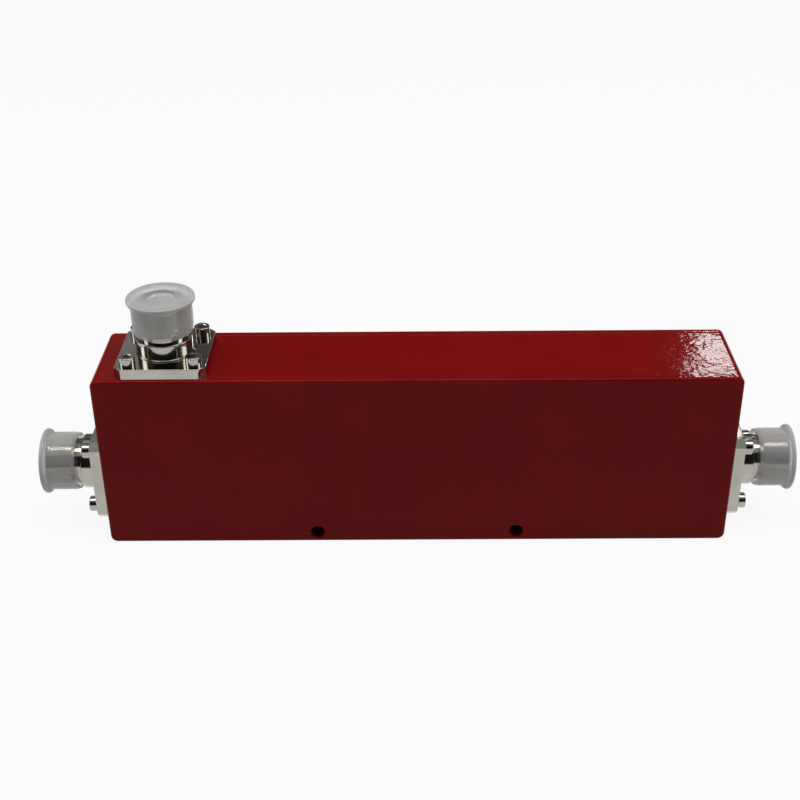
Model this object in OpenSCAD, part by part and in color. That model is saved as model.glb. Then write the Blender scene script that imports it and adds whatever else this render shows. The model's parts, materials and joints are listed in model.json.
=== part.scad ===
// Directional coupler for a coaxial antenna line.
// A milled housing closed by a rear cover holds a main line between two end connectors,
// and a coupled line that runs from the top connector to a load resistor.
// The length lies along X, the plain front face looks along -Y, and Z is up.

/* [Housing] */
// Length of the housing
body_l = 180; // [172:1:240]
// Height of the housing
body_h = 54; // [50:0.5:80]
// Depth of the milled housing, from the front face to the rear cover
housing_d = 27.4; // [26.6:0.1:40]
// Radius of the four corners of the front outline
corner_r = 2; // [1:0.1:3]
// Chamfer that breaks the outer edges of the front face and of the rear cover
edge_break = 0.6; // [0.2:0.1:0.9]
// Wall behind the front face
front_wall = 3.4; // [2:0.1:5]
// Wall at each end
end_wall = 7; // [6.5:0.1:9]
// Wall above the coupled channel
top_wall = 7; // [6.5:0.1:9]
// Radius that the cutter leaves in the channel corners
channel_r = 3; // [1:0.5:4]

/* [Channels] */
// Height of the end connectors above the bottom face
port_h = 20; // [19:0.1:22]
// Height of the channel round the main line
main_channel_h = 22; // [18:0.5:24]
// Rib between the main and the coupled channel
rib_t = 3; // [2:0.1:4]
// Length of the window through the rib, where the two lines couple
window_l = 88; // [40:1:90]

/* [Rear cover] */
// Thickness of the rear cover
cover_t = 3; // [2:0.1:5]
// Shank diameter of a cover screw
cover_screw_d = 3; // [2:0.1:3.4]
// Head diameter of a countersunk cover screw
cover_screw_head_d = 5.6; // [5:0.1:6]
// Length of a cover screw, head included
cover_screw_l = 8; // [6:0.5:9]
// Distance of the cover screws from the nearest outer edge
cover_screw_inset = 3.5; // [3.2:0.1:4]
// Distance of the outermost screw of each row from the end of the cover
cover_screw_end = 6; // [5:0.5:7]
// Hex socket of a cover screw, across flats
cover_screw_hex = 2; // [1.5:0.1:2.5]
// Depth of that socket
cover_screw_socket = 1.3; // [0.8:0.1:1.6]

/* [Mounting holes] */
// Distance between the two mounting holes
mount_spacing = 58; // [30:1:74]
// Diameter of a mounting hole
mount_hole_d = 4; // [3:0.1:4.4]
// Height of the mounting holes above the bottom face
mount_hole_h = 3.3; // [3:0.1:4]

/* [Connector shell] */
// Distance of the top connector from the left end of the housing
coupled_port_inset = 19.5; // [19:0.1:24]
// Side of the square flange
flange_w = 25.4; // [24:0.1:25.6]
// Thickness of the flange
flange_t = 3.1; // [2:0.05:4]
// Chamfer on the flange corners
flange_corner = 2; // [1:0.1:3]
// Spacing of the flange screws
flange_screw_spacing = 18.26; // [17.5:0.01:18.6]
// Diameter of the plain barrel behind the thread
barrel_d = 16; // [15.9:0.1:17]
// Chamfered foot of the barrel, where it meets the flange
barrel_foot = 0.35; // [0.1:0.05:0.6]
// End of the plain barrel, from the mounting face
barrel_l = 7.6; // [6:0.1:8.4]
// Diameter of the relief neck between barrel and thread
neck_d = 13.4; // [12.4:0.1:15]
// Length of the relief neck
neck_l = 2; // [1:0.1:2.6]
// Outside diameter of the thread
thread_d = 15.875; // [15.5:0.005:16]
// Chamfer at both ends of the thread
thread_chamfer = 0.8; // [0.4:0.1:1]
// Length of the shell, from the mounting face to its open rim
shell_l = 18; // [16:0.1:22]
// Bore that receives the mating plug
mating_d = 8.4; // [8:0.1:9]
// Depth of the lead-in chamfer at the mouth of that bore
mating_lead = 0.6; // [0.2:0.1:1]
// Reach of the insulator into the shell, from the mounting face
insulator_reach = 8; // [6:0.1:9]

/* [Connector core] */
// Diameter of the insulator
insulator_d = 10; // [9.2:0.1:11]
// Diameter of the centre contact
contact_d = 3.04; // [2.6:0.01:3.4]
// Length of the contact's free end, in front of the insulator
contact_reach = 5; // [4:0.1:7]
// Collar that keeps the contact from sliding back
contact_collar_d = 4.2; // [4:0.1:5]
// Thickness of that collar
contact_collar_t = 0.8; // [0.5:0.1:1.2]
// Hole in the contact for the mating pin
contact_bore_d = 1.7; // [1.4:0.05:1.9]
// Depth of that hole and of the spring slots
contact_bore_depth = 3.8; // [2:0.1:4]
// Width of the spring slots
contact_slot = 0.3; // [0.2:0.05:0.4]

/* [Flange screws] */
// Shank diameter of a flange screw
flange_screw_d = 2.5; // [2:0.1:2.6]
// Shank length of a flange screw
flange_screw_l = 8; // [5:0.5:8]
// Head diameter of a flange screw
flange_screw_head_d = 4.5; // [4:0.1:4.8]
// Head height of a flange screw
flange_screw_head_h = 2.5; // [2:0.1:3]
// Hex socket of a flange screw, across flats
flange_screw_hex = 2; // [1.5:0.1:2.2]
// Depth of that socket
flange_screw_socket = 1.25; // [0.8:0.05:1.5]
// Chamfer on the rim of a flange screw's head
flange_screw_rim = 0.25; // [0.1:0.05:0.4]

/* [Dust cap] */
// Gap between the plain barrel and the cap's open end
cap_gap = 1.6; // [0.5:0.1:2.5]
// Wall of the cap's sleeve
cap_wall = 0.5; // [0.45:0.05:1.5]
// Thickness of the cap's closed end
cap_end_t = 1.3; // [1:0.1:2]
// How far the brim stands out of the sleeve
cap_brim_out = 1.05; // [0.5:0.05:2]
// Thickness of the brim at its rim
cap_brim_t = 1.1; // [0.6:0.1:1.5]
// Height of the slope from the sleeve out to the brim
cap_brim_slope = 0.6; // [0.2:0.1:1]
// Chamfer on both edges of the brim
cap_brim_edge = 0.28; // [0.1:0.02:0.28]
// Length of the tapered lip at the open end
cap_lip_l = 1.3; // [0.6:0.1:2]
// How far the lip tapers in at its mouth
cap_lip_in = 0.25; // [0.1:0.05:0.4]
// Diameter of the dish in the closed end
cap_dish_d = 9; // [6:0.1:12]
// Depth of that dish
cap_dish_depth = 0.6; // [0.3:0.1:0.8]

/* [Main line] */
// Diameter of the main line
main_line_d = 9.6; // [7:0.1:11]
// Gap between the end of the main line and the end wall
main_line_gap = 2; // [1:0.1:4]
// How far a contact's tail reaches into the main line
tail_reach = 8; // [5:0.5:12]
// Thickness of a line support
support_t = 5; // [3:0.5:7]
// Distance of the line supports from the window in the rib
support_gap = 3.5; // [1:0.1:5]

/* [Coupled line] */
// Diameter of the coupled line
coupled_line_d = 6; // [5:0.1:7]
// How far the coupled line runs past the top connector's contact
coupled_line_past = 4.5; // [3.5:0.1:6]
// Length of the flat at the end of the coupled line, where the resistor's tab lies
tab_seat_l = 4; // [2:0.1:5]
// How far the top contact's tail reaches past the coupled line's axis
coupled_tail_past = 1.5; // [0.5:0.1:2]

/* [Load resistor] */
// Length of the resistor's flange
load_flange_l = 14; // [13.5:0.1:16]
// Width of the resistor's flange
load_flange_w = 6.4; // [6.2:0.1:8]
// Thickness of the resistor's flange
load_flange_t = 1.5; // [1:0.1:3]
// Side of the square resistor chip
load_chip_w = 6; // [4:0.1:6]
// Thickness of the chip
load_chip_t = 1; // [0.5:0.1:2]
// Width of the tab
load_tab_w = 1.6; // [1:0.1:2.4]
// Thickness of the tab
load_tab_t = 0.2; // [0.1:0.05:0.3]
// Distance from the far end of the flange to its screw
load_screw_inset = 3.6; // [3:0.1:4]
// Gap between the end of the coupled line and the resistor's flange
load_gap = 1.5; // [1:0.1:4]
// Distance of the resistor's flange from the end wall
load_inset = 5; // [3.5:0.1:8]
// Shank length of the resistor's screw
load_screw_l = 6; // [4:0.5:8]

/* [Clearances] */
// Radial clearance of a screw in its threaded hole
thread_clear = 0.05; // [0.02:0.01:0.1]
// Radial clearance of a screw in a plain hole
screw_clear = 0.2; // [0.1:0.05:0.3]
// Radial clearance of the insulators, contacts and lines in their bores
fit_clear = 0.05; // [0.02:0.01:0.1]
// Radial clearance of a cap on the thread
cap_clear = 0.06; // [0.02:0.01:0.1]
// Space left at the bottom of a blind hole
hole_spare = 0.8; // [0.2:0.1:1]

/* [Hidden] */
$fn = 64;
red_paint = [0.47, 0.06, 0.06];
nickel = [0.78, 0.77, 0.73];
steel = [0.62, 0.62, 0.60];
silver_plate = [0.86, 0.85, 0.82];
gold_plate = [0.85, 0.68, 0.32];
white_insulator = [0.95, 0.95, 0.93];
milky_cap = [0.86, 0.86, 0.85, 0.7];
ceramic = [0.92, 0.90, 0.86];
over = 1;
body_d = housing_d + cover_t;
front_y = -body_d / 2;
back_y = body_d / 2;
parting_y = front_y + housing_d;
floor_y = front_y + front_wall;
port_y = front_y + housing_d / 2;
cavity_x = body_l / 2 - end_wall;
main_bottom = port_h - main_channel_h / 2;
main_top = port_h + main_channel_h / 2;
coupled_bottom = main_top + rib_t;
coupled_top = body_h - top_wall;
coupled_line_h = (coupled_bottom + coupled_top) / 2;
coupled_x = coupled_port_inset - body_l / 2;
load_x = cavity_x - load_inset - load_flange_l;
coupled_line_x0 = coupled_x - coupled_line_past;
coupled_line_x1 = load_x - load_gap;
pad_x = load_x - load_gap / 2;
pad_y = port_y - load_chip_t - load_flange_t;
load_screw_x = load_x + load_flange_l - load_screw_inset;
cap_bore_r = thread_d / 2 + cap_clear;
cap_r = cap_bore_r + cap_wall;
cap_end = shell_l + cap_end_t;
cap_open = barrel_l + cap_gap;
flange_tap_depth = flange_screw_l - flange_t + hole_spare;
cover_tap_depth = cover_screw_l - cover_t + hole_spare;
support_x = window_l / 2 + support_gap + support_t / 2;
cover_head_h = (cover_screw_head_d - cover_screw_d) / 2;
// Pitches of a screw row on each side of its middle
cover_screw_steps = 2;
cover_screw_pitch = (body_l / 2 - cover_screw_end) / cover_screw_steps;
cover_screw_points = concat(
    [for (z = [cover_screw_inset, body_h - cover_screw_inset],
        step = [-cover_screw_steps:cover_screw_steps]) [step * cover_screw_pitch, z]],
    [for (side = [-1, 1]) [side * (body_l / 2 - cover_screw_inset), coupled_line_h]]);
end_tail = end_wall + main_line_gap + tail_reach;
coupled_tail = body_h - coupled_line_h + coupled_tail_past;

// Flat shapes lie on the XZ plane: x across, z up
module rounded_area(x0, x1, z0, z1, r) {
    translate([x0 + r, z0]) square([x1 - x0 - 2 * r, z1 - z0]);
    translate([x0, z0 + r]) square([x1 - x0, z1 - z0 - 2 * r]);
    for (x = [x0 + r, x1 - r], z = [z0 + r, z1 - r])
        translate([x, z]) circle(r);
}

// Gives a flat shape on the XZ plane a thickness from y0 towards the back
module slab(y0, t) {
    translate([0, y0 + t, 0]) rotate([90, 0, 0]) linear_extrude(t) children();
}

// Block with rounded corners whose face at y = 0 has a chamfered edge all round
module edged_block(t) {
    half_l = body_l / 2;
    slab(edge_break, t - edge_break) rounded_area(-half_l, half_l, 0, body_h, corner_r);
    translate([corner_r - half_l, 0, 0]) rotate([90, 0, 90]) linear_extrude(body_l - 2 * corner_r)
        polygon([[0, edge_break], [0, body_h - edge_break], [edge_break, body_h], [edge_break, 0]]);
    translate([0, 0, corner_r]) linear_extrude(body_h - 2 * corner_r)
        polygon([[edge_break - half_l, 0], [half_l - edge_break, 0],
            [half_l, edge_break], [-half_l, edge_break]]);
    for (x = [corner_r - half_l, half_l - corner_r], z = [corner_r, body_h - corner_r])
        translate([x, 0, z]) rotate([-90, 0, 0])
            cylinder(h = edge_break, r1 = corner_r - edge_break, r2 = corner_r);
}

// Channel milled from the open back down to y0
module pocket(x0, x1, z0, z1, y0) {
    slab(y0, parting_y - y0 + over) rounded_area(x0, x1, z0, z1, channel_r);
}

// Frames of the three connectors, with z pointing out of the housing
module at_input() {
    translate([-body_l / 2, port_y, port_h]) rotate([0, -90, 0]) children();
}

module at_output() {
    translate([body_l / 2, port_y, port_h]) rotate([0, 90, 0]) children();
}

module at_coupled() {
    translate([coupled_x, port_y, body_h]) children();
}

module at_flange_screws() {
    half = flange_screw_spacing / 2;
    for (x = [-half, half], y = [-half, half])
        translate([x, y, 0]) children();
}

module at_cover_screws() {
    for (point = cover_screw_points)
        translate([point[0], back_y, point[1]]) rotate([90, 0, 0]) children();
}

module at_load_screw() {
    translate([load_screw_x, pad_y + load_flange_t, coupled_line_h]) rotate([-90, 0, 0]) children();
}

module port_cut(wall) {
    translate([0, 0, -wall - over]) cylinder(r = insulator_d / 2 + fit_clear, h = wall + 2 * over);
    at_flange_screws() translate([0, 0, -flange_tap_depth])
        cylinder(r = flange_screw_d / 2 + thread_clear, h = flange_tap_depth + over);
}

module mounting_holes() {
    for (side = [-1, 1])
        translate([side * mount_spacing / 2, front_y - over, mount_hole_h]) rotate([-90, 0, 0])
            cylinder(d = mount_hole_d, h = body_d + 2 * over);
}

module housing() {
    color(red_paint) difference() {
        translate([0, front_y, 0]) edged_block(housing_d);
        pocket(-cavity_x, cavity_x, main_bottom, main_top, floor_y);
        pocket(-cavity_x, pad_x, coupled_bottom, coupled_top, floor_y);
        pocket(-cavity_x, cavity_x, coupled_bottom, coupled_top, pad_y);
        translate([-window_l / 2, floor_y, main_top - over])
            cube([window_l, parting_y - floor_y + over, rib_t + 2 * over]);
        at_input() port_cut(end_wall);
        at_output() port_cut(end_wall);
        at_coupled() port_cut(top_wall);
        mounting_holes();
        at_cover_screws() translate([0, 0, cover_t - over])
            cylinder(r = cover_screw_d / 2 + thread_clear, h = cover_tap_depth + over);
        at_load_screw() translate([0, 0, -load_screw_l - hole_spare])
            cylinder(r = flange_screw_d / 2 + thread_clear, h = load_screw_l + hole_spare);
    }
}

module rear_cover() {
    color(red_paint) difference() {
        translate([0, back_y, 0]) mirror([0, 1, 0]) edged_block(cover_t);
        mounting_holes();
        at_cover_screws() {
            translate([0, 0, -over])
                cylinder(r = cover_screw_d / 2 + screw_clear, h = cover_t + 2 * over);
            cylinder(h = cover_head_h, r1 = cover_screw_head_d / 2 + fit_clear,
                r2 = cover_screw_d / 2 + fit_clear);
        }
    }
}

module cover_screw() {
    difference() {
        union() {
            cylinder(h = cover_head_h, d1 = cover_screw_head_d, d2 = cover_screw_d);
            cylinder(h = cover_screw_l, d = cover_screw_d);
        }
        translate([0, 0, -over])
            cylinder(h = over + cover_screw_socket, d = cover_screw_hex / cos(30), $fn = 6);
    }
}

module cover_screws() {
    color(steel) at_cover_screws() cover_screw();
}

// Turned shell with its square flange, standing on the mounting face
module connector_shell() {
    seat_r = insulator_d / 2 + fit_clear;
    thread_z = barrel_l + neck_l;
    color(nickel) {
        difference() {
            linear_extrude(flange_t) polygon([for (turn = [0:90:270], side = [-1, 1])
                let (x = flange_w / 2, y = side * (flange_w / 2 - flange_corner))
                [x * cos(turn) - y * sin(turn), x * sin(turn) + y * cos(turn)]]);
            translate([0, 0, -over]) cylinder(r = barrel_d / 2 - over, h = flange_t + 2 * over);
            at_flange_screws() translate([0, 0, -over])
                cylinder(r = flange_screw_d / 2 + screw_clear, h = flange_t + 2 * over);
        }
        rotate_extrude() polygon([
            [seat_r, 0],
            [barrel_d / 2 + barrel_foot, 0],
            [barrel_d / 2 + barrel_foot, flange_t],
            [barrel_d / 2, flange_t + barrel_foot],
            [barrel_d / 2, barrel_l],
            [neck_d / 2, barrel_l],
            [neck_d / 2, thread_z],
            [thread_d / 2 - thread_chamfer, thread_z],
            [thread_d / 2, thread_z + thread_chamfer],
            [thread_d / 2, shell_l - thread_chamfer],
            [thread_d / 2 - thread_chamfer, shell_l],
            [mating_d / 2 + mating_lead, shell_l],
            [mating_d / 2, shell_l - mating_lead],
            [mating_d / 2, insulator_reach],
            [seat_r, insulator_reach]]);
    }
}

module insulator(wall) {
    color(white_insulator) difference() {
        translate([0, 0, -wall]) cylinder(d = insulator_d, h = wall + insulator_reach);
        translate([0, 0, -wall - over])
            cylinder(r = contact_d / 2 + fit_clear, h = wall + insulator_reach + 2 * over);
    }
}

// Pin with a solder tail at the back and a slotted spring socket at the front
module contact(tail) {
    tip = insulator_reach + contact_collar_t + contact_reach;
    color(gold_plate) difference() {
        union() {
            translate([0, 0, -tail]) cylinder(d = contact_d, h = tail + tip);
            translate([0, 0, insulator_reach]) cylinder(d = contact_collar_d, h = contact_collar_t);
        }
        translate([0, 0, tip - contact_bore_depth]) {
            cylinder(d = contact_bore_d, h = contact_bore_depth + over);
            for (turn = [0, 90])
                rotate([0, 0, turn]) translate([-contact_d, -contact_slot / 2, 0])
                    cube([2 * contact_d, contact_slot, contact_bore_depth + over]);
        }
    }
}

// Socket head screw that seats at z = 0
module socket_screw(shank_l) {
    difference() {
        union() {
            translate([0, 0, -shank_l]) cylinder(d = flange_screw_d, h = shank_l);
            cylinder(d = flange_screw_head_d, h = flange_screw_head_h - flange_screw_rim);
            translate([0, 0, flange_screw_head_h - flange_screw_rim])
                cylinder(h = flange_screw_rim, r1 = flange_screw_head_d / 2,
                    r2 = flange_screw_head_d / 2 - flange_screw_rim);
        }
        translate([0, 0, flange_screw_head_h - flange_screw_socket])
            cylinder(h = flange_screw_socket + over, d = flange_screw_hex / cos(30), $fn = 6);
    }
}

module flange_screws() {
    color(steel) at_flange_screws() translate([0, 0, flange_t]) socket_screw(flange_screw_l);
}

// Push-on cap: sleeve with a tapered lip, closed end with a brim and a round dish
module dust_cap() {
    brim_r = cap_r + cap_brim_out;
    brim_z = cap_end - cap_brim_t;
    color(milky_cap) rotate_extrude() polygon([
        [0, shell_l],
        [cap_bore_r, shell_l],
        [cap_bore_r, cap_open],
        [cap_r - cap_lip_in, cap_open],
        [cap_r, cap_open + cap_lip_l],
        [cap_r, brim_z - cap_brim_slope],
        [brim_r - cap_brim_edge, brim_z],
        [brim_r, brim_z + cap_brim_edge],
        [brim_r, cap_end - cap_brim_edge],
        [brim_r - cap_brim_edge, cap_end],
        [cap_dish_d / 2, cap_end],
        [cap_dish_d / 2 - cap_dish_depth, cap_end - cap_dish_depth],
        [0, cap_end - cap_dish_depth]]);
}

// Round rod along X with its axis at height z
module rod(x0, x1, z, d) {
    translate([x0, port_y, z]) rotate([0, 90, 0]) cylinder(d = d, h = x1 - x0);
}

module main_line() {
    half = cavity_x - main_line_gap;
    bore = contact_d + 2 * fit_clear;
    depth = tail_reach + hole_spare;
    color(silver_plate) difference() {
        rod(-half, half, port_h, main_line_d);
        rod(-half - over, depth - half, port_h, bore);
        rod(half - depth, half + over, port_h, bore);
    }
}

// Plastic plate across a channel, clamped between the housing's floor and the cover
module line_support(x, z0, z1, z, d) {
    color(white_insulator) difference() {
        translate([x - support_t / 2, floor_y, z0]) cube([support_t, parting_y - floor_y, z1 - z0]);
        rod(x - support_t / 2 - over, x + support_t / 2 + over, z, d + 2 * fit_clear);
    }
}

module main_line_support(x) {
    line_support(x, main_bottom, main_top, port_h, main_line_d);
}

module coupled_line_support(x) {
    line_support(x, coupled_bottom, coupled_top, coupled_line_h, coupled_line_d);
}

module coupled_line() {
    color(silver_plate) difference() {
        rod(coupled_line_x0, coupled_line_x1, coupled_line_h, coupled_line_d);
        at_coupled() translate([0, 0, -coupled_tail])
            cylinder(r = contact_d / 2 + fit_clear, h = coupled_tail);
        translate([coupled_line_x1 - tab_seat_l, port_y, coupled_line_h - coupled_line_d / 2 - over])
            cube([tab_seat_l + over, coupled_line_d, coupled_line_d + 2 * over]);
    }
}

module load_flange() {
    color(nickel) difference() {
        translate([load_x, pad_y, coupled_line_h - load_flange_w / 2])
            cube([load_flange_l, load_flange_t, load_flange_w]);
        at_load_screw() translate([0, 0, -load_flange_t - over])
            cylinder(r = flange_screw_d / 2 + screw_clear, h = load_flange_t + 2 * over);
    }
}

module load_resistor() {
    color(ceramic) translate([load_x, port_y - load_chip_t, coupled_line_h - load_chip_w / 2])
        cube([load_chip_w, load_chip_t, load_chip_w]);
}

module load_tab() {
    x0 = coupled_line_x1 - tab_seat_l;
    color(silver_plate) translate([x0, port_y, coupled_line_h - load_tab_w / 2])
        cube([load_x + load_chip_w / 2 - x0, load_tab_t, load_tab_w]);
}

module load_screw() {
    color(steel) at_load_screw() socket_screw(load_screw_l);
}

housing();
rear_cover();
cover_screws();
at_input() connector_shell();  // input_connector_shell
at_output() connector_shell();  // output_connector_shell
at_coupled() connector_shell();  // coupled_connector_shell
at_input() insulator(end_wall);  // input_insulator
at_output() insulator(end_wall);  // output_insulator
at_coupled() insulator(top_wall);  // coupled_insulator
at_input() contact(end_tail);  // input_contact
at_output() contact(end_tail);  // output_contact
at_coupled() contact(coupled_tail);  // coupled_contact
at_input() flange_screws();  // input_flange_screws
at_output() flange_screws();  // output_flange_screws
at_coupled() flange_screws();  // coupled_flange_screws
at_input() dust_cap();  // input_dust_cap
at_output() dust_cap();  // output_dust_cap
at_coupled() dust_cap();  // coupled_dust_cap
main_line();
main_line_support(-support_x);  // main_line_support_left
main_line_support(support_x);  // main_line_support_right
coupled_line();
coupled_line_support(-support_x);  // coupled_line_support_left
coupled_line_support(support_x);  // coupled_line_support_right
load_flange();
load_resistor();
load_tab();
load_screw();
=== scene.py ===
# %% [markdown]
# # A red directional coupler
# The real object is a milled aluminium box with a screwed-on back, painted red all over. A coaxial
# connector sits on each end and a third one on top, and each connector wears a milky push-on dust cap.
# The frame already holds every piece at its real size. This lesson models the pieces that show, one at a
# time, and gives each surface its finish.

# %% Load the frame
import json
import math

import bpy
from mathutils import Euler, Matrix, Vector


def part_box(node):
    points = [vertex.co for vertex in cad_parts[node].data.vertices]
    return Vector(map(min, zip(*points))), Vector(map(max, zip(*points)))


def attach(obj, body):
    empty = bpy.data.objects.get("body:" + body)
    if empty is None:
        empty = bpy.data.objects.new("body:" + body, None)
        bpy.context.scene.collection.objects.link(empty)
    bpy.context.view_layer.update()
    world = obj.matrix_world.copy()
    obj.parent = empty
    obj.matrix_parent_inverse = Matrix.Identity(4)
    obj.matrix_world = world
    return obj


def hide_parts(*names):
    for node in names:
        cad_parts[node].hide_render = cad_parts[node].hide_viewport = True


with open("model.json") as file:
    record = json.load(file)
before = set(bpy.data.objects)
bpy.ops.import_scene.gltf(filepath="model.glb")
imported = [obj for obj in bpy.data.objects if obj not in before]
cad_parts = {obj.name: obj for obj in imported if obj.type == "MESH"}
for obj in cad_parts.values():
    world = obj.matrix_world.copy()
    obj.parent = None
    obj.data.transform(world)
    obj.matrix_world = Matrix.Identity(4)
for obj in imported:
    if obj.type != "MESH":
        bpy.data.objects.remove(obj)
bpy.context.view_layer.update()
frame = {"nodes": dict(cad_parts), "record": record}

MM = 0.001
housing_low, housing_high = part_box("housing")
cover_low, cover_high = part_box("rear_cover")


def in_mm(lengths):
    return [round(length / MM, 2) for length in lengths]


print("housing", in_mm(housing_high - housing_low), "mm")

# %% [markdown]
# ## Selecting by place
# By hand, edges are picked with the mouse. In a script they are picked by where they lie, so every step
# starts by clearing the selection, opening one piece, and testing the ends of each edge.

# %% Selection helpers
TOUCH = 0.002 * MM


def near(a, b):
    return abs(a - b) < TOUCH


def clear_selection():
    if bpy.context.mode != "OBJECT":
        bpy.ops.object.mode_set(mode="OBJECT")
    bpy.ops.object.select_all(action="DESELECT")


def make_active(piece):
    clear_selection()
    piece.select_set(True)
    bpy.context.view_layer.objects.active = piece


def deselect_within(piece, kind):
    """Leaves a piece in object mode with nothing in its mesh selected, ready for picking."""
    make_active(piece)
    bpy.ops.object.mode_set(mode="EDIT")
    bpy.ops.mesh.select_mode(type=kind)
    bpy.ops.mesh.select_all(action="DESELECT")
    bpy.ops.object.mode_set(mode="OBJECT")


def pick_edges(piece, test):
    """Opens a piece in edit mode with only those edges selected whose two ends pass the test."""
    deselect_within(piece, "EDGE")
    points = piece.data.vertices
    for edge in piece.data.edges:
        edge.select = test(*(points[end].co for end in edge.vertices))
    picked = sum(edge.select for edge in piece.data.edges)
    bpy.ops.object.mode_set(mode="EDIT")
    return picked


def round_edges(piece, test, width, segments):
    picked = pick_edges(piece, test)
    bpy.ops.mesh.bevel(offset=width, segments=segments, affect="EDGES")
    bpy.ops.object.mode_set(mode="OBJECT")
    print(piece.name, "rounded", picked, "edges by", round(width / MM, 2), "mm")


# %% [markdown]
# ## Blocks, turned pieces and cuts
# Three operations make every piece here. A block is a cube set between two corners. A turned piece is a
# circle that is pulled up and scaled ring by ring, as a lathe follows an outline, so it has no seam to
# mend. A cut is a Boolean modifier that is applied at once, which is how a drill or a milling cutter
# works on the real piece.

# %% Shaping helpers
WELD = 0.0005 * MM
ROUND_STEPS = 96
SHARP_ANGLE = math.radians(30)


def name_piece(name):
    piece = bpy.context.object
    piece.name = name
    piece.data.name = name
    return piece


def block(name, low, high):
    clear_selection()
    bpy.ops.mesh.primitive_cube_add(size=1, location=(low + high) / 2, scale=high - low)
    bpy.ops.object.transform_apply(location=True, rotation=True, scale=True)
    return name_piece(name)


def close_mesh():
    """Welds the mesh that is open in edit mode, fills its ends and turns its faces outwards."""
    bpy.ops.mesh.select_all(action="SELECT")
    bpy.ops.mesh.remove_doubles(threshold=WELD)
    bpy.ops.mesh.fill_holes(sides=0)
    bpy.ops.mesh.normals_make_consistent(inside=False)
    bpy.ops.object.mode_set(mode="OBJECT")


def turned(name, rings, steps=ROUND_STEPS):
    """Turns a piece about Z through rings of (radius, height). An outline may end where it started."""
    clear_selection()
    radius, height = rings[0]
    bpy.ops.mesh.primitive_circle_add(vertices=steps, radius=radius, location=(0, 0, height))
    bpy.ops.object.transform_apply(location=True, rotation=True, scale=True)
    bpy.ops.object.mode_set(mode="EDIT")
    for next_radius, next_height in rings[1:]:
        bpy.ops.mesh.extrude_region_move(TRANSFORM_OT_translate={"value": (0, 0, next_height - height)})
        share = next_radius / radius
        bpy.ops.transform.resize(value=(share, share, 1), center_override=(0, 0, next_height))
        radius, height = next_radius, next_height
    close_mesh()
    return name_piece(name)


def straight_bit(radius, start, end, steps=ROUND_STEPS):
    return turned("bit", [(radius, start), (radius, end)], steps)


def on_ring(radius, height):
    """A test for the edges of one ring of a turned piece."""
    def test(a, b):
        return all(near(end.z, height) and near(end.xy.length, radius) for end in (a, b))
    return test


def combine(piece, tool, operation):
    make_active(piece)
    modifier = piece.modifiers.new(operation, "BOOLEAN")
    modifier.object = tool
    modifier.operation = operation
    modifier.solver = "EXACT"
    bpy.ops.object.modifier_apply(modifier=modifier.name)
    bpy.data.objects.remove(tool)


def copy_to(original, name, location, rotation=(0, 0, 0)):
    make_active(original)
    bpy.ops.object.duplicate(linked=False)
    piece = name_piece(name)
    piece.location = location
    piece.rotation_euler = rotation
    bpy.ops.object.transform_apply(location=True, rotation=True, scale=True)
    return piece


def join_copies(original, name, places):
    """Joins copies of one piece, each at its location and rotation, and removes the original."""
    copies = [copy_to(original, name, location, rotation) for location, rotation in places]
    clear_selection()
    for piece in copies:
        piece.select_set(True)
    bpy.context.view_layer.objects.active = copies[0]
    bpy.ops.object.join()
    bpy.data.objects.remove(original)
    return name_piece(name)


def drill(piece, bit, spots, rotation=(0, 0, 0)):
    """Cuts the bit out of the piece at all spots in one go, which leaves no sliver between two holes."""
    combine(piece, join_copies(bit, "bits", [(spot, rotation) for spot in spots]), "DIFFERENCE")


def finish_shading(piece, angle=SHARP_ANGLE):
    """Smooth curves and flat faces: edges are sharp by angle, and normals are weighted by face area."""
    make_active(piece)
    bpy.ops.object.shade_smooth_by_angle(angle=angle)
    weighted = piece.modifiers.new("flat faces", "WEIGHTED_NORMAL")
    weighted.keep_sharp = True
    bpy.ops.object.modifier_apply(modifier=weighted.name)
    print(piece.name, "has", len(piece.data.polygons), "faces")


# %% [markdown]
# ## The camera
# The picture is taken from the front and above, almost straight on, with a short telephoto lens. The
# place and the angles come from matching the corners of the box and the three connectors to the picture.

# %% Camera
CAMERA_PLACE = Vector((-1.29, -330.3, 229.06)) * MM
CAMERA_PITCH = math.radians(29.91)
CAMERA_YAW = math.radians(-0.59)
CAMERA_ROLL = math.radians(0.636)
CAMERA_LENS = 59.32
CAMERA_NEAR = 10 * MM
TOP_POINT = Vector((0, 0, housing_high.z))

camera_data = bpy.data.cameras.new("camera")
camera_data.lens = CAMERA_LENS
camera_data.clip_start = CAMERA_NEAR
camera = bpy.data.objects.new("camera", camera_data)
camera.matrix_world = (
    Matrix.Translation(CAMERA_PLACE)
    @ Matrix.Rotation(-CAMERA_YAW, 4, "Z")
    @ Matrix.Rotation(math.pi / 2 - CAMERA_PITCH, 4, "X")
    @ Matrix.Rotation(-CAMERA_ROLL, 4, "Z")
)
bpy.context.scene.collection.objects.link(camera)
bpy.context.scene.camera = camera
print("camera", round((CAMERA_PLACE - TOP_POINT).length / MM), "mm from the top face")

# %% [markdown]
# ## The studio
# Bright metal looks like whatever stands around it, so the studio matters as much as the finish. The
# floor is white to the camera and in reflections, and keeps the shadow through the share of plain diffuse
# in it. The world beyond it has the same white, so that a low view shows no horizon. Dim walls and a
# paler ceiling stand around the set, out of the camera's sight, so that the nickel has something dark and
# something pale to mirror.

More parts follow.
